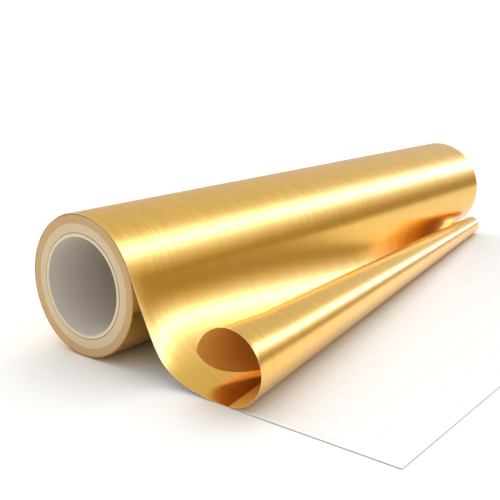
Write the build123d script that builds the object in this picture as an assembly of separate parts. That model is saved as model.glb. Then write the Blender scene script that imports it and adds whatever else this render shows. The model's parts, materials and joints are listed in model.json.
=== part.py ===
from build123d import *
import os
from math import cos, hypot, pi, radians, sin

# A roll of metallised sign vinyl, wound face out on a 3 inch paperboard core.
# Frame: origin at the centre of the core's bore, +X along the core, +Z up; the web leaves on the -Y side.

# Driving dimensions, mm
WEB_WIDTH = 610.0        # a 24 inch web
CORE_BORE_R = 38.1       # 3 inch core
INNER_PLY = 2.5          # white board at the bore
CORE_PLIES = 10          # grey board plies between the inner and the outer ply
CORE_PLY = 0.68
OUTER_PLY = 0.7          # kraft ply that the web is taped to
WOUND_TURNS = 7          # turns of the stand-in web, thicker than the real one
FILM = 0.5               # wound vinyl, one turn
LINER = 0.4              # wound release liner, one turn
TURN_PITCH = 0.97        # film, liner and the air between two turns
WEB_SKIN = 0.4           # film and liner thickness once the web is off the roll
BODY_GAP = 0.35          # clearance between pieces that move past each other

CORE_R = CORE_BORE_R + INNER_PLY + CORE_PLIES * CORE_PLY + OUTER_PLY
WOUND_START = CORE_R + TURN_PITCH - FILM - LINER
ROLL_R = WOUND_START + FILM + LINER + (WOUND_TURNS - 0.5) * TURN_PITCH    # at its lowest point
FLOOR_Z = -ROLL_R
HALF = WEB_WIDTH / 2

# The web off the roll, seen along the core: h runs out in -Y, v up from the table
WRAP_START = 118.0       # degrees up and over from the front, where the outer lap parts from the roll
EVEN_RUN = 100.0         # both ends of the web are paced alike over this length
NEAR = dict(leave=24.0, foot=143.0, reach=72.0, run=58.0, curl_r=27.6)
FAR = dict(leave=-50.0, foot=54.0, reach=6.0, run=20.0, curl_r=11.0)
CURL_INSET = 9.0         # the curl's far end stops this far inside the web's far edge
CURL_START, CURL_END = 4.0, 262.0    # degrees round the curl from its foot
CURL_STRIPS = 8          # strips that the curled film is cut into, each nearly flat
LINER_END_H = 270.0      # cut end of the liner on the table
FLAP_H = 229.0           # line on which the liner's free end lifts
TAPE = dict(start=-35.0, sweep=42.0, thick=0.35)

SPAN = 26                # points along a web section


def tube(inner, outer):
    """A tube along the core, its wall between two radii."""
    ring = Circle(outer) - Circle(inner)
    return Plane.YZ.offset(-HALF) * extrude(ring, WEB_WIDTH)


def spiral_edges(shift):
    """Edges of a spiral of semicircles that grows by one pitch a turn, moved out by shift."""
    edges = []
    for half_turn in range(2 * WOUND_TURNS):
        upper = half_turn % 2 == 0
        centre = 0.0 if upper else TURN_PITCH / 2
        radius = WOUND_START + shift + half_turn * TURN_PITCH / 2
        edges.append(CenterArc((centre, 0), radius, 0 if upper else 180, 180))
    return edges


def wound(shift, thick):
    """One continuous wound layer: the strip between two spirals, along the whole core."""
    inner = spiral_edges(shift)
    outer = spiral_edges(shift + thick)
    caps = [Line(inner[0] @ 0, outer[0] @ 0), Line(inner[-1] @ 1, outer[-1] @ 1)]
    strip = make_face(Curve() + inner + outer + caps)
    return Plane.YZ.offset(-HALF) * extrude(strip, WEB_WIDTH)


def starter_tape():
    """The tape that holds the web's first edge on the core, let into the outer ply."""
    ring = Circle(CORE_R) - Circle(CORE_R - TAPE["thick"])
    reach = 2 * CORE_R
    end = TAPE["start"] + TAPE["sweep"]
    corners = [(reach * cos(radians(a)), reach * sin(radians(a))) for a in (TAPE["start"], end)]
    wedge = make_face(Polyline((0, 0), *corners, close=True))
    return Plane.YZ.offset(-HALF) * extrude(ring & wedge, WEB_WIDTH)


def bezier(ends, count):
    """Points along a cubic curve."""
    points = []
    for i in range(count):
        t = i / (count - 1)
        weights = ((1 - t) ** 3, 3 * (1 - t) ** 2 * t, 3 * (1 - t) * t ** 2, t ** 3)
        points.append(tuple(sum(w * p[k] for w, p in zip(weights, ends)) for k in (0, 1)))
    return points


def web_path(end, radius):
    """The web's roll side: round the roll, off it at the tangent and down onto the table."""
    leave = radians(end["leave"])
    steps = 60
    angles = [radians(WRAP_START) + (leave - radians(WRAP_START)) * i / steps for i in range(steps)]
    round_roll = [(radius * cos(a), ROLL_R + radius * sin(a)) for a in angles]
    off = (radius * cos(leave), ROLL_R + radius * sin(leave))
    along = (off[0] + end["reach"] * sin(leave), off[1] - end["reach"] * cos(leave))
    foot = (end["foot"], 0.0)
    return round_roll + bezier((off, along, (foot[0] - end["run"], 0.0), foot), 4 * steps)


def paced(path):
    """The path as evenly spaced points, alike at both ends of the web as far as EVEN_RUN."""
    lengths = [0.0]
    for a, b in zip(path, path[1:]):
        lengths.append(lengths[-1] + hypot(b[0] - a[0], b[1] - a[1]))
    even = SPAN // 2
    rest = SPAN - even
    stops = [EVEN_RUN * i / even for i in range(even)]
    stops += [EVEN_RUN + (lengths[-1] - EVEN_RUN) * i / (rest - 1) for i in range(rest)]
    points, k = [], 0
    for stop in stops:
        while k < len(path) - 2 and lengths[k + 1] < stop:
            k += 1
        t = (stop - lengths[k]) / (lengths[k + 1] - lengths[k])
        points.append(tuple(path[k][i] * (1 - t) + path[k + 1][i] * t for i in (0, 1)))
    return points


def moved_out(points, shift):
    """The same run of points, each moved along the web's outward normal."""
    moved = []
    for i, point in enumerate(points):
        a, b = points[max(i - 1, 0)], points[min(i + 1, len(points) - 1)]
        length = hypot(b[0] - a[0], b[1] - a[1])
        moved.append((point[0] - shift * (b[1] - a[1]) / length, point[1] + shift * (b[0] - a[0]) / length))
    return moved


def section(x, inner, outer):
    """A thin face in a plane across the core, between two runs of (h, v) points."""
    sides = [[(x, -h, FLOOR_Z + v) for h, v in run] for run in (inner, outer)]
    caps = [Line(sides[0][i], sides[1][i]) for i in (0, -1)]
    return make_face(Curve() + [Spline(*sides[0]), Spline(*sides[1])] + caps)


def web_layer(low, high):
    """One layer of the web between the roll and the table, low and high over the roll side."""
    faces = []
    for end, x in ((NEAR, -HALF), (FAR, HALF)):
        side = paced(web_path(end, ROLL_R + BODY_GAP))
        faces.append(section(x, moved_out(side, low), moved_out(side, high)))
    return loft(faces, ruled=True)


def curl_strip(number):
    """One strip of the peeled film, curled back over itself in a cone that narrows to the far end."""
    faces = []
    far_share = 1 - CURL_INSET / WEB_WIDTH
    far = {key: NEAR[key] + (FAR[key] - NEAR[key]) * far_share for key in ("foot", "curl_r")}
    sweep = (CURL_END - CURL_START) / CURL_STRIPS
    turn = [radians(CURL_START + sweep * (number + part)) for part in (0, 0.5, 1)]
    for end, x in ((NEAR, -HALF), (far, HALF - CURL_INSET)):
        centre_v = WEB_SKIN + BODY_GAP + end["curl_r"]
        arcs = []
        for radius in (end["curl_r"] - WEB_SKIN, end["curl_r"]):
            run = [(end["foot"] + radius * sin(a), centre_v - radius * cos(a)) for a in turn]
            arcs.append(ThreePointArc(*[(x, -h, FLOOR_Z + v) for h, v in run]))
        caps = [Line(arcs[0] @ side, arcs[1] @ side) for side in (0, 1)]
        faces.append(make_face(Curve() + arcs + caps))
    return loft(faces, ruled=True)


def liner_sheet():
    """The bared liner flat on the table, from the foot of the web to the line where its end lifts."""
    gap = BODY_GAP
    corners = [(-HALF, -NEAR["foot"] - gap), (HALF, -FAR["foot"] - gap), (HALF, -FLAP_H), (-HALF, -FLAP_H)]
    return Pos(0, 0, FLOOR_Z) * extrude(make_face(Polyline(*corners, close=True)), WEB_SKIN)


def liner_end():
    """The liner's free end, which lifts off the table."""
    length = LINER_END_H - FLAP_H - BODY_GAP
    flap = Box(WEB_WIDTH, length, WEB_SKIN, align=(Align.CENTER, Align.MIN, Align.MIN))
    return Pos(0, -LINER_END_H, FLOOR_Z) * flap


def core_parts():
    """The core's plies from the bore out, and the starter tape."""
    radius = CORE_BORE_R + INNER_PLY
    parts = {"core_inner_ply": tube(CORE_BORE_R, radius)}
    for number in range(1, CORE_PLIES + 1):
        parts[f"core_ply_{number}"] = tube(radius, radius + CORE_PLY)
        radius += CORE_PLY
    tape = starter_tape()
    parts["core_outer_ply"] = tube(radius, CORE_R) - tape
    parts["starter_tape"] = tape
    return parts


def all_parts():
    """Every piece of the roll, by node name."""
    parts = core_parts()
    parts["wound_liner"] = wound(0, LINER)
    parts["wound_film"] = wound(LINER, FILM)
    parts["web_liner"] = web_layer(0, WEB_SKIN)
    parts["web_film"] = web_layer(WEB_SKIN, 2 * WEB_SKIN)
    parts["liner_sheet"] = liner_sheet()
    parts["liner_end"] = liner_end()
    for number in range(CURL_STRIPS):
        parts[f"film_curl_{number + 1}"] = curl_strip(number)
    return parts


os.makedirs("parts", exist_ok=True)
for node, solid in all_parts().items():
    export_step(solid, f"parts/{node}.step")
print(f"roll radius {ROLL_R:.2f}, core radius {CORE_R:.2f}")
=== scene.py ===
"""A roll of brushed gold sign vinyl, its web drawn off over a table and the film peeled into a curl."""

import json
import logging
import math
from dataclasses import dataclass, field
from enum import Enum
from typing import Any

import bpy
import numpy as np
from mathutils import Matrix, Vector


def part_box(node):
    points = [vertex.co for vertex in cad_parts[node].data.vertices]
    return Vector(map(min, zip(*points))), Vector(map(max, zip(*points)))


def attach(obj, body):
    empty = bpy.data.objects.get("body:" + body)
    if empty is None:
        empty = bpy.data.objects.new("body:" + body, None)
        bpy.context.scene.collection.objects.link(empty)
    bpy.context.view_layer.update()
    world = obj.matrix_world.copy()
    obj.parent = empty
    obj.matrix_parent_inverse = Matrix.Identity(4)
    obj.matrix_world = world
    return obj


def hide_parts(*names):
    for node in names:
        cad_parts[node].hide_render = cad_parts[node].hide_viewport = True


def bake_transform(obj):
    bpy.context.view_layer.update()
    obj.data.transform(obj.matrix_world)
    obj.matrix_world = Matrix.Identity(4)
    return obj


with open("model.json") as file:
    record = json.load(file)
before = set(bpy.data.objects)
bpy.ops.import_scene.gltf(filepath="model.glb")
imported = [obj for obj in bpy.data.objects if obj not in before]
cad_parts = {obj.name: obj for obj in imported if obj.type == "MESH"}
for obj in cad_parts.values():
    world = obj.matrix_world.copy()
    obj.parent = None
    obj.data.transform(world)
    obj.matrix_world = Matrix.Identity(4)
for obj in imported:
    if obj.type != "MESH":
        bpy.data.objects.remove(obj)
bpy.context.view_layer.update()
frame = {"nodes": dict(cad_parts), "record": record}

MM = 0.001
log = logging.getLogger("sign_vinyl")


class Body(Enum):
    """The bodies that pieces move with."""

    WEB = "web"
    ROLL = "wound_roll"
    PULLED = "pulled_web"
    CURL = "curl"
    FLAP = "liner_flap"


class Slot(Enum):
    """The record's material slots."""

    FILM = "gold_film"
    LINER = "release_liner"
    WHITE_BOARD = "white_board"
    GREY_BOARD = "grey_board"
    KRAFT_BOARD = "kraft_board"
    TAPE = "tape"


# ---------------------------------------------------------------- materials


def linear(hex_colour: str) -> tuple[float, float, float, float]:
    """Turns an sRGB hex value to linear colour.

    Args:
        hex_colour: six hex digits, such as "e1b65a".

    Returns:
        Linear red, green, blue and an alpha of 1.
    """
    parts = [int(hex_colour[i:i + 2], 16) / 255 for i in (0, 2, 4)]
    toned = [c / 12.92 if c <= 0.04045 else ((c + 0.055) / 1.055) ** 2.4 for c in parts]
    return (*toned, 1.0)


def wire(tree: Any, node: Any, inputs: dict[Any, Any]) -> None:
    """Gives a node its inputs.

    Args:
        tree: the node tree.
        node: the node.
        inputs: socket name or number to a constant, or to what feeds it: an output socket, or a node,
            whose first live output is taken.
    """
    for key, value in inputs.items():
        if isinstance(value, bpy.types.Node):
            value = next(socket for socket in value.outputs if socket.enabled)
        if isinstance(value, bpy.types.NodeSocket):
            tree.links.new(value, node.inputs[key])
        else:
            node.inputs[key].default_value = value


def add(tree: Any, kind: str, settings: dict[str, Any] | None = None,
        inputs: dict[Any, Any] | None = None) -> Any:
    """Adds one node with its settings and its links.

    Args:
        tree: the node tree.
        kind: the node's type name.
        settings: attributes of the node.
        inputs: what wire takes.

    Returns:
        The new node.
    """
    node = tree.nodes.new(kind)
    for key, value in (settings or {}).items():
        setattr(node, key, value)
    wire(tree, node, inputs or {})
    return node


@dataclass(frozen=True)
class Finish:
    """What every finish shares: a name, a Principled shader on object coordinates, and its patterns."""

    name: str

    def start(self) -> tuple[Any, Any, Any, Any]:
        """Makes the empty material.

        Returns:
            The material, its tree, its Principled node and its coordinate socket.
        """
        material = bpy.data.materials.new(self.name)
        material.use_nodes = True
        tree = material.node_tree
        shader = tree.nodes["Principled BSDF"]
        place = add(tree, "ShaderNodeTexCoord").outputs["Object"]
        return material, tree, shader, place

    def grains(self, tree: Any, place: Any, size: tuple[float, float, float], detail: float = 2.0) -> Any:
        """Mottling whose grains have a real size.

        Args:
            tree: the node tree.
            place: the coordinate socket, in metres.
            size: the grain's length along X, Y and Z, in metres.
            detail: octaves of finer noise.

        Returns:
            The node that holds it, from 0 to 1.
        """
        scaled = add(tree, "ShaderNodeVectorMath", {"operation": "DIVIDE"}, {0: place, 1: size})
        return add(tree, "ShaderNodeTexNoise", None, {"Vector": scaled, "Scale": 1.0, "Detail": detail})

    def fine_on_broad(self, tree: Any, fine: Any, broad: Any, weight: float) -> Any:
        """A fine pattern laid over a broad one.

        Args:
            tree: the node tree.
            fine: the fine pattern's node.
            broad: the broad pattern's node.
            weight: how much of the result is the fine one, from 0 to 1.

        Returns:
            The node that holds it, from 0 to 1.
        """
        rest = add(tree, "ShaderNodeMath", {"operation": "MULTIPLY"}, {0: broad, 1: 1 - weight})
        return add(tree, "ShaderNodeMath", {"operation": "MULTIPLY_ADD"}, {0: fine, 1: weight, 2: rest})

    def off_middle(self, tree: Any, steps: Any) -> Any:
        """How far a point is from the middle between two whole steps.

        Args:
            tree: the node tree.
            steps: the node that holds the point's place, counted in steps.

        Returns:
            The node that holds it, from 0 to 0.5.
        """
        part = add(tree, "ShaderNodeMath", {"operation": "FRACT"}, {0: steps})
        shifted = add(tree, "ShaderNodeMath", {"operation": "SUBTRACT"}, {0: part, 1: 0.5})
        return add(tree, "ShaderNodeMath", {"operation": "ABSOLUTE"}, {0: shifted})


@dataclass(frozen=True)
class BrushedGoldFilm(Finish):
    """Metallised PVC film with a brushed print: satin, its fine lines running along the web."""

    colour: str = "fbd272"
    deep: str = "e0a83e"
    roughness: float = 0.24
    uneven: float = 0.10          # how much duller the brush lines are than the metal between them
    scatter: float = 0.0          # how much less metallic the film turns away from the table: painted light, matt gold lit by the soft light in place of light bounced inside the curl
    scatter_from: float = 0.0     # height at which that starts, in metres
    scatter_over: float = 12 * MM
    line: float = 0.7 * MM        # spacing of the brush lines, drawn coarse enough to show
    line_length: float = 60 * MM
    waviness: float = 45 * MM     # slow unevenness of a thin film over the roll
    wave_height: float = 14.0     # and how much higher its waves stand than the brush lines
    relief: float = 0.012 * MM

    def make(self) -> Any:
        """Builds the material.

        Returns:
            The material.
        """
        material, tree, shader, place = self.start()
        lines = self.grains(tree, place, (self.line, self.line_length, self.line_length), 4.0)
        broad = self.grains(tree, place, (6 * self.line, 3 * self.line_length, 3 * self.line_length))
        share = self.fine_on_broad(tree, lines, broad, 0.6)
        colour = add(tree, "ShaderNodeMix", {"data_type": "RGBA"},
                     {0: share, 6: linear(self.deep), 7: linear(self.colour)})
        rough = add(tree, "ShaderNodeMath", {"operation": "MULTIPLY_ADD"},
                    {0: lines, 1: self.uneven, 2: self.roughness - self.uneven / 2})
        slow = self.grains(tree, place, (self.waviness,) * 3, 1.0)
        height = add(tree, "ShaderNodeMath", {"operation": "MULTIPLY_ADD"},
                     {0: slow, 1: self.wave_height, 2: lines})
        bump = add(tree, "ShaderNodeBump", None,
                   {"Strength": 0.5, "Distance": self.relief, "Height": height})
        wire(tree, shader, {"Base Color": colour, "Metallic": 1.0, "Roughness": rough, "Normal": bump})
        # Painted light: away from the table the film turns mostly matt, so its shaded places show softly
        # lit gold.
        if self.scatter:
            split = add(tree, "ShaderNodeSeparateXYZ", None, {0: place})
            metal = add(tree, "ShaderNodeMapRange", None, {
                0: split.outputs[2], 1: self.scatter_from, 2: self.scatter_from + self.scatter_over,
                3: 1.0, 4: 1.0 - self.scatter})
            wire(tree, shader, {"Metallic": metal})
        return material


@dataclass(frozen=True)
class CutVinylEdge(Finish):
    """The film's slit edge: clear PVC over metal, which catches the light as a pale line."""

    colour: str = "fbe3a4"
    dark: str = "dcae58"
    fibre: float = 2 * MM

    def make(self) -> Any:
        """Builds the material.

        Returns:
            The material.
        """
        material, tree, shader, place = self.start()
        streaks = self.grains(tree, place, (self.fibre,) * 3)
        colour = add(tree, "ShaderNodeMix", {"data_type": "RGBA"},
                     {0: streaks, 6: linear(self.dark), 7: linear(self.colour)})
        wire(tree, shader, {"Base Color": colour, "Metallic": 0.6, "Roughness": 0.35})
        return material


@dataclass(frozen=True)
class WoundEdge(Finish):
    """The slit side of a wound layer: paper, adhesive and PVC packed tight, dull and finely ringed."""

    colour: str
    dark: str
    fleck: float = 0.35 * MM
    patch: float = 9 * MM

    def make(self) -> Any:
        """Builds the material.

        Returns:
            The material.
        """
        material, tree, shader, place = self.start()
        fine = self.grains(tree, place, (1 * MM, self.fleck, self.fleck), 3.0)
        broad = self.grains(tree, place, (self.patch,) * 3)
        share = self.fine_on_broad(tree, fine, broad, 0.6)
        colour = add(tree, "ShaderNodeMix", {"data_type": "RGBA"},
                     {0: share, 6: linear(self.dark), 7: linear(self.colour)})
        bump = add(tree, "ShaderNodeBump", None,
                   {"Strength": 0.4, "Distance": 0.05 * MM, "Height": fine})
        wire(tree, shader, {"Base Color": colour, "Roughness": 0.6, "Normal": bump})
        return material


@dataclass(frozen=True)
class Paperboard(Finish):
    """Spirally wound chipboard: matt, short grey and brown fibres, pale where it is white-lined."""

    colour: str
    fleck: str
    fibre: float = 1.2 * MM
    cloud: float = 14 * MM
    seam_pitch: float = 0.0       # advance of the ply's butt seam in one turn; 0 leaves it out
    seam_half: float = 0.3 * MM   # half the seam's width
    seam_colour: str = "8a7458"
    seam_depth: float = 3.0       # how much deeper the seam is than the fibres

    def make(self) -> Any:
        """Builds the material.

        Returns:
            The material.
        """
        material, tree, shader, place = self.start()
        grain = self.grains(tree, place, (self.fibre, self.fibre * 0.4, self.fibre * 0.4), 4.0)
        share = self.fine_on_broad(tree, grain, self.grains(tree, place, (self.cloud,) * 3), 0.7)
        colour = add(tree, "ShaderNodeMix", {"data_type": "RGBA"},
                     {0: share, 6: linear(self.fleck), 7: linear(self.colour)})
        height = grain
        if self.seam_pitch:
            seam = self.seam(tree, place)
            faded = add(tree, "ShaderNodeMath", {"operation": "MULTIPLY"}, {0: seam, 1: 0.5})
            colour = add(tree, "ShaderNodeMix", {"data_type": "RGBA"},
                         {0: faded, 6: colour, 7: linear(self.seam_colour)})
            sunk = add(tree, "ShaderNodeMath", {"operation": "MULTIPLY"}, {0: seam, 1: self.seam_depth})
            height = add(tree, "ShaderNodeMath", {"operation": "SUBTRACT"}, {0: grain, 1: sunk})
        bump = add(tree, "ShaderNodeBump", None,
                   {"Strength": 0.6, "Distance": 0.06 * MM, "Height": height})
        wire(tree, shader, {"Base Color": colour, "Roughness": 0.8, "Specular IOR Level": 0.3,
                            "Normal": bump})
        return material

    def seam(self, tree: Any, place: Any) -> Any:
        """The butt seam, which winds along the tube.

        Args:
            tree: the node tree.
            place: the coordinate socket, in metres.

        Returns:
            The node that is 1 on the seam and 0 elsewhere.
        """
        split = add(tree, "ShaderNodeSeparateXYZ", None, {0: place})
        turn = add(tree, "ShaderNodeMath", {"operation": "ARCTAN2"},
                   {0: split.outputs[2], 1: split.outputs[1]})
        turns = add(tree, "ShaderNodeMath", {"operation": "MULTIPLY"}, {0: turn, 1: 1 / math.tau})
        wrap = add(tree, "ShaderNodeMath", {"operation": "MULTIPLY_ADD"},
                   {0: split.outputs[0], 1: 1 / self.seam_pitch, 2: turns})
        return add(tree, "ShaderNodeMath", {"operation": "LESS_THAN"},
                   {0: self.off_middle(tree, wrap), 1: self.seam_half / self.seam_pitch})


@dataclass(frozen=True)
class SiliconedPaper(Finish):
    """Clay-coated release liner: white, softly glossy from its silicone, with a faint printed grid."""

    colour: str = "f7f6f4"
    base: str = "f1f0ee"          # the darker of the sheet's two mottled tones
    mottle: float = 7 * MM
    printed: bool = True
    print_colour: str = "e3d5d4"
    print_strength: float = 0.45
    grid: float = 20 * MM
    printed_line: float = 0.5 * MM

    def make(self) -> Any:
        """Builds the material.

        Returns:
            The material.
        """
        material, tree, shader, place = self.start()
        mottle = self.grains(tree, place, (self.mottle,) * 3, 3.0)
        colour = add(tree, "ShaderNodeMix", {"data_type": "RGBA"},
                     {0: mottle, 6: linear(self.base), 7: linear(self.colour)})
        if self.printed:
            split = add(tree, "ShaderNodeSeparateXYZ", None, {0: place})
            for along_axis in (split.outputs[0], split.outputs[1]):
                step = add(tree, "ShaderNodeMath", {"operation": "MULTIPLY"},
                           {0: along_axis, 1: 1 / self.grid})
                on_line = add(tree, "ShaderNodeMath", {"operation": "GREATER_THAN"},
                              {0: self.off_middle(tree, step), 1: 0.5 - self.printed_line / self.grid / 2})
                ink = add(tree, "ShaderNodeMath", {"operation": "MULTIPLY"},
                          {0: on_line, 1: self.print_strength})
                colour = add(tree, "ShaderNodeMix", {"data_type": "RGBA"},
                             {0: ink, 6: colour, 7: linear(self.print_colour)})
        bump = add(tree, "ShaderNodeBump", None,
                   {"Strength": 0.3, "Distance": 0.05 * MM, "Height": mottle})
        wire(tree, shader, {"Base Color": colour, "Roughness": 0.38, "Normal": bump})
        return material


@dataclass(frozen=True)
class SplicingTape(Finish):
    """Polypropylene splicing tape: thin, yellowish and glossy."""

    colour: str = "e6dab4"
    dark: str = "d8cba0"
    stretch: tuple[float, float, float] = (1 * MM, 8 * MM, 8 * MM)

    def make(self) -> Any:
        """Builds the material.

        Returns:
            The material.
        """
        material, tree, shader, place = self.start()
        stretch = self.grains(tree, place, self.stretch)
        colour = add(tree, "ShaderNodeMix", {"data_type": "RGBA"},
                     {0: stretch, 6: linear(self.dark), 7: linear(self.colour)})
        wire(tree, shader, {"Base Color": colour, "Roughness": 0.25})
        return material


@dataclass
class Finishes:
    """Every finish on the roll, made once, as a material."""

    film: Any = field(default_factory=lambda: BrushedGoldFilm("brushed_gold_film").make())
    # Painted light: the curl's inside is a lighter, rougher and mostly matt copy of the gold film, standing
    # in for light bounced about inside the curl.
    film_inside_painted_light: Any = field(default_factory=lambda: BrushedGoldFilm(
        "brushed_gold_film_inside", "ffcf74", "f6bc58", roughness=0.42, scatter=0.85,
        scatter_from=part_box("liner_sheet")[0].z - 12 * MM).make())
    film_edge: Any = field(default_factory=lambda: CutVinylEdge("cut_vinyl_edge").make())
    gold_rim: Any = field(
        default_factory=lambda: CutVinylEdge("cut_vinyl_rim", "cf9030", "9a661e").make())
    liner: Any = field(default_factory=lambda: SiliconedPaper("siliconed_liner").make())
    liner_back: Any = field(
        default_factory=lambda: SiliconedPaper("liner_back", "efece6", printed=False).make())
    cut_paper: Any = field(
        default_factory=lambda: SiliconedPaper("cut_paper_edge", "a39c90", "8f887c", printed=False).make())
    film_side: Any = field(
        default_factory=lambda: WoundEdge("wound_film_side", "d9b27a", "cda468").make())
    liner_side: Any = field(
        default_factory=lambda: WoundEdge("wound_liner_side", "e0c091", "d6b17c").make())
    white_board: Any = field(default_factory=lambda: Paperboard(
        "white_lined_board", "ebe3d8", "d9cfc1", seam_pitch=160 * MM).make())
    grey_board: Any = field(default_factory=lambda: Paperboard("chipboard", "f4e3c4", "e6d0aa").make())
    dark_board: Any = field(
        default_factory=lambda: Paperboard("glued_chipboard", "ecd9b8", "dac49c").make())
    kraft_board: Any = field(default_factory=lambda: Paperboard("kraft_board", "c0a074", "a48354").make())
    tape: Any = field(default_factory=lambda: SplicingTape("splicing_tape").make())


# ---------------------------------------------------------------- sizes and shapes


@dataclass(frozen=True)
class WebEnd:
    """One end of the web, seen along the core, in metres and degrees."""

    leave: float                  # where the web parts from the roll, up from the front
    foot: float                   # how far out it lands
    reach: float                  # how long it keeps its direction off the roll
    run: float                    # and how long it keeps it onto the table
    curl_r: float                 # the curl's radius at the foot
    curl_growth: float            # change of that radius over one radian


@dataclass
class Sizes:
    """The roll's sizes, read from the frame where it holds them."""

    half: float = 0.0             # half the roll's width
    floor: float = 0.0            # height of the table under the core's axis, below zero
    roll_r: float = 0.0
    core_r: float = 0.0
    bore_r: float = 0.0
    near: WebEnd = WebEnd(11.0, 143 * MM, 24 * MM, 30 * MM, 26.6 * MM, 0.45 * MM)
    far: WebEnd = WebEnd(-50.0, 54 * MM, 6 * MM, 20 * MM, 11.0 * MM, -0.35 * MM)
    # how much more the very near corner is drawn out: it parts sooner and lands more gently
    flare: WebEnd = WebEnd(13.0, 0.0, 38 * MM, 23 * MM, 0.0, 0.0)
    flare_over: float = 0.015     # share of the width over which that dies away
    wrap_start: float = 118.0     # degrees, where the outer lap lifts off the wound turns
    even_run: float = 100 * MM    # both ends of the web are paced alike over this length
    curl_inset: float = 9 * MM    # how far the curl stops short of the far end
    liner_end: float = 0.0        # how far out the liner's cut end is
    flap_line: float = 0.0        # and the line where it lifts

    def __post_init__(self) -> None:
        """Reads what the frame holds."""
        sheet_low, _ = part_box("liner_sheet")
        _, film_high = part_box("wound_liner")
        _, core_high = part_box("core_outer_ply")
        flap_low, flap_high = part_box("liner_end")
        bore = frame["record"]["mounts"][0]
        self.half = film_high.x
        self.floor = sheet_low.z
        self.roll_r = -self.floor
        self.core_r = core_high.z
        self.bore_r = bore["dims"]["r_mm"] * MM
        self.liner_end = -flap_low.y
        self.flap_line = -flap_high.y

    def web_at(self, share: float) -> WebEnd:
        """The web's shape part of the way along the core.

        Args:
            share: 0 at the near end, 1 at the far end.

        Returns:
            The shape there: it stays on the roll longer and longer towards the far end.
        """
        late, pulled = share ** 3, math.exp(-share / self.flare_over)
        near, far, flare = self.near, self.far, self.flare
        return WebEnd(
            near.leave + (far.leave - near.leave) * late + flare.leave * pulled,
            near.foot + (far.foot - near.foot) * share,
            near.reach + (far.reach - near.reach) * late + flare.reach * pulled,
            near.run + (far.run - near.run) * share + flare.run * pulled,
            near.curl_r + (far.curl_r - near.curl_r) * share, 0.0)


def bezier(ends: list[tuple[float, float]], count: int) -> np.ndarray:
    """Points along a Bezier curve.

    Args:
        ends: its control points.
        count: how many points.

    Returns:
        An array of count points.
    """
    t, last = np.linspace(0, 1, count)[:, None], len(ends) - 1
    return sum(math.comb(last, k) * (1 - t) ** (last - k) * t ** k * np.array(end)
               for k, end in enumerate(ends))


def along(path: np.ndarray, stops: np.ndarray) -> np.ndarray:
    """Points of a path at given lengths along it.

    Args:
        path: points of the path.
        stops: lengths from its start.

    Returns:
        One point for each stop.
    """
    lengths = np.concatenate([[0], np.cumsum(np.hypot(*np.diff(path, axis=0).T))])
    return np.stack([np.interp(stops, lengths, path[:, k]) for k in (0, 1)], -1)


def length_of(path: np.ndarray) -> float:
    """The length of a path of points."""
    return float(np.hypot(*np.diff(path, axis=0).T).sum())


def normals_of(grid: np.ndarray) -> np.ndarray:
    """Unit normals of a grid of points, on the side that faces out of the web.

    Args:
        grid: points, across the web and then along it.

    Returns:
        One unit normal for each point.
    """
    across, down = np.gradient(grid, axis=0), np.gradient(grid, axis=1)
    normal = np.cross(down, across)
    return normal / np.linalg.norm(normal, axis=-1, keepdims=True)


def sheet_piece(name: str, grid: np.ndarray, low: Any, high: Any, faces: list[Any],
                smooth: float = 50.0) -> Any:
    """A closed thin sheet on a grid of points.

    Args:
        name: the piece's name.
        grid: points, across the web and then along it.
        low: distance of the inner face from the grid, along its normal.
        high: distance of the outer face.
        faces: materials of the outer face, the inner face and the cut edges.
        smooth: edges sharper than this many degrees stay sharp.

    Returns:
        The new object.
    """
    across, down = grid.shape[:2]
    normal = normals_of(grid)
    flat = np.zeros((across, down))
    outer = grid + normal * (flat + high)[..., None]
    inner = grid + normal * (flat + low)[..., None]
    points = np.concatenate([outer.reshape(-1, 3), inner.reshape(-1, 3)])
    index = np.arange(across * down).reshape(across, down)
    under = index + across * down
    a, b, c, d = index[:-1, :-1], index[1:, :-1], index[1:, 1:], index[:-1, 1:]
    top = np.stack([a, d, c, b], -1).reshape(-1, 4)
    base = np.stack([a, b, c, d], -1).reshape(-1, 4) + across * down
    rims = []
    for row, below in ((index[0], under[0]), (index[-1][::-1], under[-1][::-1]),
                       (index[:, -1], under[:, -1]), (index[::-1, 0], under[::-1, 0])):
        rims.append(np.stack([row[1:], row[:-1], below[:-1], below[1:]], -1))
    rim = np.concatenate(rims)
    mesh = bpy.data.meshes.new(name)
    mesh.from_pydata(points.tolist(), [], np.concatenate([top, base, rim]).tolist())
    for material in faces:
        mesh.materials.append(material)
    kinds = np.concatenate([np.zeros(len(top)), np.ones(len(base)), np.full(len(rim), 2)])
    mesh.polygons.foreach_set("material_index", kinds.astype(np.int32))
    mesh.shade_smooth()
    mesh.set_sharp_from_angle(angle=math.radians(smooth))
    mesh.update()
    piece = bpy.data.objects.new(name, mesh)
    bpy.context.scene.collection.objects.link(piece)
    return piece


def geometry_tree(name: str, inputs: dict[str, tuple[str, Any]]) -> tuple[Any, Any]:
    """An empty Geometry Nodes tree with named inputs.

    Args:
        name: the tree's name.
        inputs: input name to its socket type and default.

    Returns:
        The tree and its group input node.
    """
    tree = bpy.data.node_groups.new(name, "GeometryNodeTree")
    tree.interface.new_socket("Geometry", in_out="OUTPUT", socket_type="NodeSocketGeometry")
    for label, (kind, default) in inputs.items():
        socket = tree.interface.new_socket(label, in_out="INPUT", socket_type=kind)
        if default is not None:
            socket.default_value = default
    return tree, add(tree, "NodeGroupInput")


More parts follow.
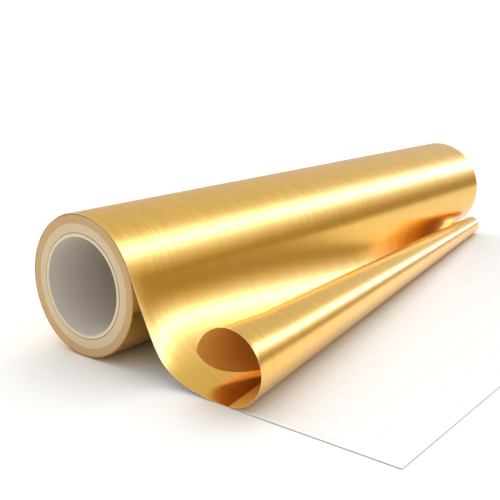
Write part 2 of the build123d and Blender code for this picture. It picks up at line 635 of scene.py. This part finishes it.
def baked(name: str, tree: Any, values: dict[str, Any], smooth: float = 40.0) -> Any:
    """Runs a Geometry Nodes tree once and keeps the plain mesh.

    Args:
        name: the piece's name.
        tree: the tree to run.
        values: input name to its value.
        smooth: edges sharper than this many degrees stay sharp.

    Returns:
        The new object, with no modifier.
    """
    holder = bpy.data.objects.new(name + "_holder", bpy.data.meshes.new(name + "_holder"))
    bpy.context.scene.collection.objects.link(holder)
    modifier = holder.modifiers.new("nodes", "NODES")
    modifier.node_group = tree
    sockets = {s.name: s.identifier for s in tree.interface.items_tree if s.in_out == "INPUT"}
    for label, value in values.items():
        modifier[sockets[label]] = value
    bpy.context.view_layer.update()
    graph = bpy.context.evaluated_depsgraph_get()
    mesh = bpy.data.meshes.new_from_object(holder.evaluated_get(graph))
    bpy.data.objects.remove(holder)
    mesh.name = name
    mesh.shade_smooth()
    mesh.set_sharp_from_angle(angle=math.radians(smooth))
    piece = bpy.data.objects.new(name, mesh)
    bpy.context.scene.collection.objects.link(piece)
    return piece


def finished(tree: Any, geometry: Any, material: Any) -> None:
    """Ends a Geometry Nodes tree: lies it along the core, realises it and gives it its material.

    Args:
        tree: the tree.
        geometry: the node that holds the mesh, wound about Z.
        material: the socket that holds the material.
    """
    lying = add(tree, "GeometryNodeTransform", None,
                {"Geometry": geometry, "Rotation": (0.0, math.pi / 2, 0.0)})
    real = add(tree, "GeometryNodeRealizeInstances", None, {"Geometry": lying})
    dressed = add(tree, "GeometryNodeSetMaterial", None, {"Geometry": real, "Material": material})
    add(tree, "NodeGroupOutput", None, {0: dressed})


def face_ends(piece: Any, ends: Any, square: float, rest: Any | None = None,
              rim: tuple[float, Any] | None = None) -> None:
    """Gives the faces that look along the core one material, and the others another.

    Args:
        piece: the piece, lying along the core.
        ends: material of its end faces.
        square: how squarely a face looks along the core to count as an end, from 0 to 1.
        rest: material of the other faces; None leaves what they have.
        rim: a radius in metres, and the material of the end faces that lie beyond it.
    """
    mesh = piece.data
    kept = rest or mesh.materials[0]
    mesh.materials.clear()
    mesh.materials.append(ends)
    mesh.materials.append(kept)
    normal = np.zeros(len(mesh.polygons) * 3, np.float32)
    mesh.polygons.foreach_get("normal", normal)
    others = np.abs(normal.reshape(-1, 3)[:, 0]) < square
    slots = others.astype(np.int32)
    if rim:
        mesh.materials.append(rim[1])
        centre = np.zeros(len(mesh.polygons) * 3, np.float32)
        mesh.polygons.foreach_get("center", centre)
        beyond = np.hypot(*centre.reshape(-1, 3)[:, 1:].T) > rim[0]
        slots[beyond & ~others] = 2
    mesh.polygons.foreach_set("material_index", slots)


# ---------------------------------------------------------------- sub-assemblies


@dataclass
class CoreTube:
    """The paperboard core: white-lined bore ply, a kraft ply round it, chipboard plies, starter tape."""

    sizes: Sizes
    finishes: Finishes
    segments: int = 144
    glue_gap: float = 0.03 * MM
    end_round: float = 0.12 * MM
    least_trim: float = 0.05 * MM     # how far a ply ends short of the full width
    most_trim: float = 0.35 * MM
    seed: int = 11
    end_square: float = 0.9

    def ply_tree(self) -> Any:
        """A tube with softened rims, made by running a rounded wall round a circle.

        Returns:
            The tree.
        """
        tree, given = geometry_tree("core_ply_tube", {
            "Middle Radius": ("NodeSocketFloat", 0.045), "Wall": ("NodeSocketFloat", 0.001),
            "Length": ("NodeSocketFloat", 0.6), "Rim Round": ("NodeSocketFloat", 0.0001),
            "Segments": ("NodeSocketInt", 144), "Finish": ("NodeSocketMaterial", None)})
        circle = add(tree, "GeometryNodeCurvePrimitiveCircle", None,
                     {"Resolution": given.outputs["Segments"], "Radius": given.outputs["Middle Radius"]})
        wall = add(tree, "GeometryNodeCurvePrimitiveQuadrilateral", None,
                   {"Width": given.outputs["Wall"], "Height": given.outputs["Length"]})
        rounded = add(tree, "GeometryNodeFilletCurve", None,
                      {"Curve": wall, "Radius": given.outputs["Rim Round"]})
        tube = add(tree, "GeometryNodeCurveToMesh", None, {"Curve": circle, "Profile Curve": rounded})
        finished(tree, tube, given.outputs["Finish"])
        return tree

    def build(self) -> None:
        """Makes every ply and dresses the tape."""
        tree = self.ply_tree()
        rng = np.random.default_rng(self.seed)
        count = sum(name.startswith("core_ply_") for name in frame["nodes"])
        names = ["core_inner_ply"] + [f"core_ply_{n + 1}" for n in range(count)] + ["core_outer_ply"]
        for number, name in enumerate(names):
            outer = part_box(name)[1].z
            inner = self.sizes.bore_r if number == 0 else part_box(names[number - 1])[1].z
            dress = self.finishes.grey_board if number % 2 else self.finishes.dark_board
            slot = Slot.GREY_BOARD
            if number == 0:
                dress, slot = self.finishes.white_board, Slot.WHITE_BOARD
            elif number == 1:
                dress = self.finishes.kraft_board
            elif number == len(names) - 1:
                slot = Slot.KRAFT_BOARD
            trim = float(rng.uniform(self.least_trim, self.most_trim)) if number else 0.0
            piece = baked("board_" + name, tree, {
                "Middle Radius": (inner + outer) / 2, "Wall": outer - inner - self.glue_gap,
                "Length": 2 * (self.sizes.half - trim), "Rim Round": self.end_round,
                "Segments": self.segments, "Finish": dress})
            if number == 0:
                face_ends(piece, self.finishes.grey_board, self.end_square)
            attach(piece, Body.ROLL.value)
            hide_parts(name)
            log.info("%s: outer radius %.1f mm", piece.name, outer / MM)
        tape = frame["nodes"]["starter_tape"]
        tape.data.materials.clear()
        tape.data.materials.append(self.finishes.tape)


@dataclass
class WoundTurns:
    """The wound film and liner: one long spiral each, with turns that stand a little proud at the ends."""

    sizes: Sizes
    finishes: Finishes
    laminate: float = 0.25 * MM   # advance of the radius in one turn
    film: float = 0.09 * MM
    liner: float = 0.13 * MM
    gap: float = 0.01 * MM        # between the liner and the turn below
    bond: float = 0.005 * MM      # between the liner and the film
    wander: float = 0.22 * MM     # how far a turn may sit off its neighbours along the core
    wander_rate: float = 1.7      # how often that changes in one turn
    per_turn: int = 84
    end_square: float = 0.5
    rim: float = 1.00 * MM        # depth of the outermost turns, whose ends catch the light

    def spiral_tree(self) -> Any:
        """A ribbon wound on a flat spiral, each turn shifted a little along the core.

        Returns:
            The tree.
        """
        tree, given = geometry_tree("wound_ribbon", {
            "Turns": ("NodeSocketFloat", 29.0), "Start Radius": ("NodeSocketFloat", 0.048),
            "End Radius": ("NodeSocketFloat", 0.055), "Thickness": ("NodeSocketFloat", 0.0001),
            "Width": ("NodeSocketFloat", 0.6), "Wander": ("NodeSocketFloat", 0.0002),
            "Points Per Turn": ("NodeSocketInt", 84), "Seed": ("NodeSocketFloat", 3.0),
            "Finish": ("NodeSocketMaterial", None)})
        spiral = add(tree, "GeometryNodeCurveSpiral", None, {
            "Resolution": given.outputs["Points Per Turn"], "Rotations": given.outputs["Turns"],
            "Start Radius": given.outputs["Start Radius"], "End Radius": given.outputs["End Radius"],
            "Height": 0.0})
        part = add(tree, "GeometryNodeSplineParameter")
        turn = add(tree, "ShaderNodeMath", {"operation": "MULTIPLY_ADD"},
                   {0: part.outputs["Factor"], 1: given.outputs["Turns"], 2: given.outputs["Seed"]})
        weave = add(tree, "ShaderNodeTexNoise", {"noise_dimensions": "1D"},
                    {"W": turn, "Scale": self.wander_rate})
        either_way = add(tree, "ShaderNodeMath", {"operation": "SUBTRACT"}, {0: weave, 1: 0.5})
        shift = add(tree, "ShaderNodeMath", {"operation": "MULTIPLY"},
                    {0: either_way, 1: given.outputs["Wander"]})
        offset = add(tree, "ShaderNodeCombineXYZ", None, {"Z": shift})
        placed = add(tree, "GeometryNodeSetPosition", None, {"Geometry": spiral, "Offset": offset})
        upright = add(tree, "GeometryNodeSetCurveNormal", {"mode": "Z_UP"}, {"Curve": placed})
        ribbon = add(tree, "GeometryNodeCurvePrimitiveQuadrilateral", None,
                     {"Width": given.outputs["Thickness"], "Height": given.outputs["Width"]})
        wound = add(tree, "GeometryNodeCurveToMesh", None,
                    {"Curve": upright, "Profile Curve": ribbon, "Fill Caps": True})
        finished(tree, wound, given.outputs["Finish"])
        return tree

    def build(self) -> None:
        """Makes both ribbons, and gives the film its gold face."""
        tree = self.spiral_tree()
        turns = (self.sizes.roll_r - self.sizes.core_r) / self.laminate
        finishes, over_liner = self.finishes, self.gap + self.liner + self.bond
        layers = (
            ("wound_liner", self.liner, self.gap + self.liner / 2, finishes.liner_side, None, Slot.LINER),
            ("wound_film", self.film, over_liner + self.film / 2, finishes.film_side, finishes.film,
             Slot.FILM))
        for node, thick, up, side, face, slot in layers:
            last = self.sizes.roll_r - self.laminate + up
            piece = baked("ribbon_" + node, tree, {
                "Turns": turns, "Start Radius": last - turns * self.laminate + self.laminate / 2,
                "End Radius": last, "Thickness": thick,
                "Width": 2 * self.sizes.half - self.wander, "Wander": self.wander,
                "Points Per Turn": self.per_turn, "Finish": side}, smooth=50)
            face_ends(piece, side, self.end_square, rest=face,
                      rim=(self.sizes.roll_r - self.rim, finishes.gold_rim))
            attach(piece, Body.ROLL.value)
            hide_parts(node)
            log.info("%s: %.0f turns", piece.name, turns)


@dataclass
class DrawnWeb:
    """The web between the roll and the table: gold film over white liner, still bonded."""

    sizes: Sizes
    finishes: Finishes
    lift: float = 0.04 * MM       # air between the wound turns and the outer lap
    liner: float = 0.16 * MM
    film: float = 0.26 * MM       # drawn thicker than the real film, so that its edge shows
    taper: float = 14 * MM        # the outer lap's first stretch, where it rises off the turn below
    bend_out: float = 0.055       # where the web turns out over the table: share of the way to its foot
    bend_up: float = 0.68         # and share of the height it has dropped to
    sunk: float = -0.03 * MM      # height of the outer lap's first edge over the web's roll side
    tuck: float = 0.10 * MM       # how much deeper the liner's underside starts
    film_start: float = 0.02 * MM     # the film's thickness where it starts, before it gains its own
    give_from: float = 70 * MM    # how far before the foot the web starts to follow the table end
    give_to: float = 3 * MM       # and how far before it the web follows it wholly
    give_drop: float = 1.6        # how much steeper than level that stretch runs
    samples: int = 11             # places across the web where its length is taken
    steps: int = 200              # points round the outer lap; from there to the foot, twice as many
    across: int = 121
    down: int = 220

    def side(self, end: WebEnd) -> np.ndarray:
        """The web's roll side at one end, seen along the core.

        Args:
            end: that end's shape.

        Returns:
            Points of distance out and height above the table, evenly paced.
        """
        radius = self.sizes.roll_r + self.lift
        turn = np.radians(np.linspace(self.sizes.wrap_start, end.leave, self.steps))
        wrap = np.stack([radius * np.cos(turn), self.sizes.roll_r + radius * np.sin(turn)], -1)
        leave = math.radians(end.leave)
        off = (wrap[-1, 0], wrap[-1, 1])
        drop = (off[0] + end.reach * math.sin(leave), off[1] - end.reach * math.cos(leave))
        bend = (drop[0] + self.bend_out * (end.foot - drop[0]), drop[1] * self.bend_up)
        landing = bezier([off, drop, bend, (end.foot - end.run, 0.0), (end.foot, 0.0)], 2 * self.steps)
        path = np.concatenate([wrap[:-1], landing])
        first = self.down // 2
        stops = np.concatenate([
            np.linspace(0, self.sizes.even_run, first, endpoint=False),
            np.linspace(self.sizes.even_run, length_of(path), self.down - first)])
        return along(path, stops)

    def grid(self) -> np.ndarray:
        """The web's roll side.

        Returns:
            Its grid of points, across the web and then along it.
        """
        flat = np.stack([self.side(self.sizes.web_at(share)) for share in np.linspace(0, 1, self.across)])
        x = np.broadcast_to(np.linspace(-self.sizes.half, self.sizes.half, self.across)[:, None],
                            flat.shape[:2])
        return np.stack([x, -flat[..., 0], self.sizes.floor + flat[..., 1]], -1)

    def build(self) -> None:
        """Makes the film and the liner, both bending between the roll and the table."""
        grid = self.grid()
        lengths = [length_of(self.side(self.sizes.web_at(share)))
                   for share in np.linspace(0, 1, self.samples)]
        run = np.linalg.norm(np.diff(grid[0], axis=0), axis=-1)
        rise = np.clip(np.concatenate([[0], np.cumsum(run)]) / self.taper, 0, 1)
        rise = (rise * rise * (3 - 2 * rise))[None, :]
        liner_low = (self.sunk - self.tuck) * (1 - rise)
        liner_top = self.sunk + (self.liner - self.sunk) * rise
        film_top = self.sunk + self.film_start + (self.liner + self.film - self.sunk) * rise
        liner = sheet_piece("drawn_liner", grid, liner_low, liner_top, [self.finishes.liner_back] * 3)
        film = sheet_piece("drawn_film", grid, liner_top, film_top,
                           [self.finishes.film, self.finishes.film, self.finishes.film_edge])
        for piece, node, slot in ((liner, "web_liner", Slot.LINER), (film, "web_film", Slot.FILM)):
            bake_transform(piece)
            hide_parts(node)
            log.info("%s: %.0f to %.0f mm along", piece.name, min(lengths) / MM, max(lengths) / MM)


@dataclass
class PeeledCurl:
    """The film peeled off its liner and curled back over itself, tighter towards the far end."""

    sizes: Sizes
    finishes: Finishes
    free: float = 124 * MM        # film beyond the foot at its near corner
    eased: float = 20 * MM        # how much more there is past that corner
    ease_over: float = 16 * MM
    open_over: float = 0.10       # share of the width over which the open curl becomes an inward spiral
    film: float = 0.26 * MM
    base: float = 0.38 * MM       # height of the film's underside over the table
    across: int = 141
    down: int = 200

    def grid(self) -> np.ndarray:
        """The curl's outer face.

        Returns:
            Its grid of points, across the web and then round the curl.
        """
        sizes = self.sizes
        x = np.linspace(-sizes.half, sizes.half - sizes.curl_inset, self.across)
        share = (x + sizes.half) / (2 * sizes.half)
        near, far = sizes.near, sizes.far
        foot = near.foot + (far.foot - near.foot) * share
        radius = near.curl_r + (far.curl_r - near.curl_r) * share
        open_share = np.clip(share / self.open_over, 0, 1)
        growth = near.curl_growth + (far.curl_growth - near.curl_growth) * open_share
        free = self.free + self.eased * (1 - np.exp(-(x + sizes.half) / self.ease_over))
        end = (-radius + np.sqrt(radius ** 2 + 2 * growth * free)) / growth
        turn = np.linspace(0, 1, self.down)[None, :] * end[:, None]
        r = radius[:, None] + growth[:, None] * turn
        slide = growth[:, None] * (np.cos(turn) - 1)
        out = foot[:, None] + r * np.sin(turn) + slide
        up = radius[:, None] - r * np.cos(turn) + growth[:, None] * np.sin(turn)
        return np.stack([np.broadcast_to(x[:, None], out.shape), -out, sizes.floor + self.base + up], -1)

    def build(self) -> None:
        """Makes the curl."""
        grid = self.grid()
        # The curl's inside takes the lightened gold copy: painted light.
        piece = sheet_piece("peeled_film", grid, 0.0, self.film,
                            [self.finishes.film_inside_painted_light, self.finishes.film, self.finishes.film_edge])
        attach(piece, Body.CURL.value)
        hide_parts(*(name for name in frame["nodes"] if name.startswith("film_curl_")))
        log.info("%s: %.0f mm of film", piece.name, (self.free + self.eased) / MM)


@dataclass
class ReleaseLiner:
    """The bared liner on the table, from the web's foot to its cut end."""

    sizes: Sizes
    finishes: Finishes
    thick: float = 0.35 * MM
    bends_from: float = 4 * MM    # before the lifting line
    bends_to: float = 6 * MM      # and past it
    across: int = 61
    down: int = 60

    def build(self) -> None:
        """Makes the liner, lying flat on the table."""
        sizes = self.sizes
        share = np.linspace(0, 1, self.across)[:, None]
        start = sizes.near.foot + (sizes.far.foot - sizes.near.foot) * share
        out = start + (sizes.liner_end - start) * np.linspace(0, 1, self.down)[None, :]
        x = np.broadcast_to((2 * share - 1) * sizes.half, out.shape)
        grid = np.stack([x, -out, np.full(out.shape, sizes.floor)], -1)
        piece = sheet_piece("flat_liner", grid, 0.0, self.thick,
                            [self.finishes.liner, self.finishes.liner_back, self.finishes.cut_paper])
        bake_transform(piece)
        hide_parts("liner_sheet", "liner_end")


# ---------------------------------------------------------------- studio


@dataclass
class Studio:
    """A white table, a soft strip light over the front, and the camera."""

    sizes: Sizes
    camera_place: tuple[float, float, float] = (-0.6817, -0.4513, 0.1747)
    yaw: float = 37.77
    pitch: float = 14.16
    tilt: float = 0.65
    lens: float = 57.64
    table: tuple[float, float, float, float] = (-8.0, 8.0, -0.50, 8.0)    # its left, right, front, back
    table_drop: float = 0.3 * MM  # how far the table lies under the roll, so that no faces meet
    table_white: str = "f8f7f5"
    backdrop: float = 1.05        # brightness of the white behind the table
    ambient: float = 0.38         # light on matt surfaces from the horizon
    overhead: float = 0.68        # how much more from straight above
    lean: float = 1.40            # and from a broad light up behind the far end
    lean_way: tuple[float, float, float] = (0.62, 0.42, 0.66)
    lean_focus: float = 3.0
    # the room as the film shows it: height over the front horizon in degrees, brightness, warmth
    sky: tuple[tuple[float, float, float], ...] = (
        (-180, 0.7, 0.4), (-60, 0.7, 0.0), (-12, 0.38, 1.0), (6, 0.40, 1.0), (16, 0.56, 0.6),
        (26, 0.80, 0.0), (37, 1.05, -0.8), (45, 1.9, -1.0), (52, 6.2, -0.4), (60, 5.4, -0.2),
        (68, 1.4, -1.0), (78, 0.90, -0.3), (90, 0.78, 0.0), (112, 0.76, 0.0), (140, 0.76, 0.2),
        (180, 0.7, 0.5))
    warm: tuple[float, float, float] = (0.0, 0.26, 0.65)      # what a warmth of 1 takes off each colour
    cool: tuple[float, float, float] = (0.0, 0.13, 1.2)       # and what a warmth of -1 adds to it

    def table_top(self) -> None:
        """The pale table under the roll."""
        mesh = bpy.data.meshes.new("table_top")
        z = self.sizes.floor - self.table_drop
        left, right, front, back = self.table
        mesh.from_pydata([(left, front, z), (right, front, z), (right, back, z), (left, back, z)], [],
                         [(0, 1, 2, 3)])
        floor = bpy.data.objects.new("table_top", mesh)
        bpy.context.scene.collection.objects.link(floor)
        material = bpy.data.materials.new("white_table")
        material.use_nodes = True
        tree = material.node_tree
        tree.nodes.clear()
        matt = add(tree, "ShaderNodeBsdfDiffuse", None, {"Color": linear(self.table_white)})
        add(tree, "ShaderNodeOutputMaterial", None, {"Surface": matt})
        mesh.materials.append(material)

    def light(self) -> None:
        """A white backdrop to the eye, and to everything else a room with one long strip light."""
        world = bpy.data.worlds.new("studio")
        bpy.context.scene.world = world
        world.use_nodes = True
        world.cycles.sampling_method = "NONE"     # a wide even light needs no importance map
        tree = world.node_tree
        tree.nodes.clear()
        way = add(tree, "ShaderNodeTexCoord").outputs["Generated"]
        split = add(tree, "ShaderNodeSeparateXYZ", None, {0: way})
        path = add(tree, "ShaderNodeLightPath")
        scattered = add(tree, "ShaderNodeMath", {"operation": "GREATER_THAN"},
                        {0: path.outputs["Diffuse Depth"], 1: 0.5})
        seen = add(tree, "ShaderNodeMixShader", None,
                   {0: scattered, 1: self.room(tree, split), 2: self.soft_light(tree, way, split)})
        white = add(tree, "ShaderNodeBackground", None,
                    {"Color": (1, 1, 1, 1), "Strength": self.backdrop})
        mix = add(tree, "ShaderNodeMixShader", None,
                  {0: path.outputs["Is Camera Ray"], 1: seen, 2: white})
        add(tree, "ShaderNodeOutputWorld", None, {"Surface": mix})

    def room(self, tree: Any, split: Any) -> Any:
        """The room that the film shows: bands of light at each height, the same all along the core.

        Args:
            tree: the world's node tree.
            split: the node that holds the parts of the direction looked in.

        Returns:
            The node that holds the room's light.
        """
        front = add(tree, "ShaderNodeMath", {"operation": "MULTIPLY"}, {0: split.outputs[1], 1: -1.0})
        angle = add(tree, "ShaderNodeMath", {"operation": "ARCTAN2"}, {0: split.outputs[2], 1: front})
        share = add(tree, "ShaderNodeMath", {"operation": "MULTIPLY_ADD"},
                    {0: angle, 1: 1 / math.tau, 2: 0.5})
        ramp = add(tree, "ShaderNodeValToRGB", None, {0: share})
        ramp.color_ramp.interpolation = "EASE"
        stops = ramp.color_ramp.elements
        while len(stops) < len(self.sky):
            stops.new(0.5)
        peak = max(value for _, value, _ in self.sky)
        for stop, (degrees, value, warmth) in zip(stops, self.sky):
            stop.position = degrees / 360 + 0.5
            shade = self.warm if warmth > 0 else self.cool
            stop.color = (*(value / peak * (1 - part * warmth) for part in shade), 1.0)
        return add(tree, "ShaderNodeBackground", None, {"Color": ramp, "Strength": peak})

    def soft_light(self, tree: Any, way: Any, split: Any) -> Any:
        """The even light on matt surfaces: more from overhead and from up behind the far end.

        Args:
            tree: the world's node tree.
            way: the socket that holds the direction looked in.
            split: the node that holds its parts.

        Returns:
            The node that holds the light.
        """
        toward = add(tree, "ShaderNodeVectorMath", {"operation": "DOT_PRODUCT"},
                     {0: way, 1: self.lean_way})
        ahead = add(tree, "ShaderNodeMath", {"operation": "MAXIMUM"},
                    {0: toward.outputs["Value"], 1: 0.0})
        leaning = add(tree, "ShaderNodeMath", {"operation": "POWER"}, {0: ahead, 1: self.lean_focus})
        above = add(tree, "ShaderNodeMath", {"operation": "MAXIMUM"}, {0: split.outputs[2], 1: 0.0})
        level = add(tree, "ShaderNodeMath", {"operation": "MULTIPLY_ADD"},
                    {0: above, 1: self.overhead, 2: self.ambient})
        strength = add(tree, "ShaderNodeMath", {"operation": "MULTIPLY_ADD"},
                       {0: leaning, 1: self.lean, 2: level})
        return add(tree, "ShaderNodeBackground", None, {"Color": (1, 1, 1, 1), "Strength": strength})

    def camera(self) -> None:
        """The camera, a little above the table and off the near end."""
        yaw, pitch, tilt = (math.radians(v) for v in (self.yaw, self.pitch, self.tilt))
        ahead = Vector((math.cos(yaw) * math.cos(pitch), math.sin(yaw) * math.cos(pitch), -math.sin(pitch)))
        right = ahead.cross(Vector((0, 0, 1))).normalized()
        up = right.cross(ahead)
        turned = right * math.cos(tilt) + up * math.sin(tilt)
        upright = up * math.cos(tilt) - right * math.sin(tilt)
        lens = bpy.data.cameras.new("camera")
        lens.lens, lens.sensor_width = self.lens, 36.0
        lens.clip_start, lens.clip_end = 0.01, 100.0
        camera = bpy.data.objects.new("camera", lens)
        bpy.context.scene.collection.objects.link(camera)
        turn = Matrix((turned, upright, -ahead)).transposed().to_4x4()
        camera.matrix_world = Matrix.Translation(self.camera_place) @ turn
        bpy.context.scene.camera = camera

    def build(self) -> None:
        """Sets the table, the light and the camera."""
        bpy.context.scene.view_settings.view_transform = "Standard"
        self.table_top()
        self.light()
        self.camera()


def main() -> None:
    """Builds the roll, its web and the studio."""
    logging.basicConfig(level=logging.INFO, format="%(message)s")
    sizes, finishes = Sizes(), Finishes()
    CoreTube(sizes, finishes).build()
    WoundTurns(sizes, finishes).build()
    DrawnWeb(sizes, finishes).build()
    PeeledCurl(sizes, finishes).build()
    ReleaseLiner(sizes, finishes).build()
    Studio(sizes).build()


if __name__ == "__main__":
    main()
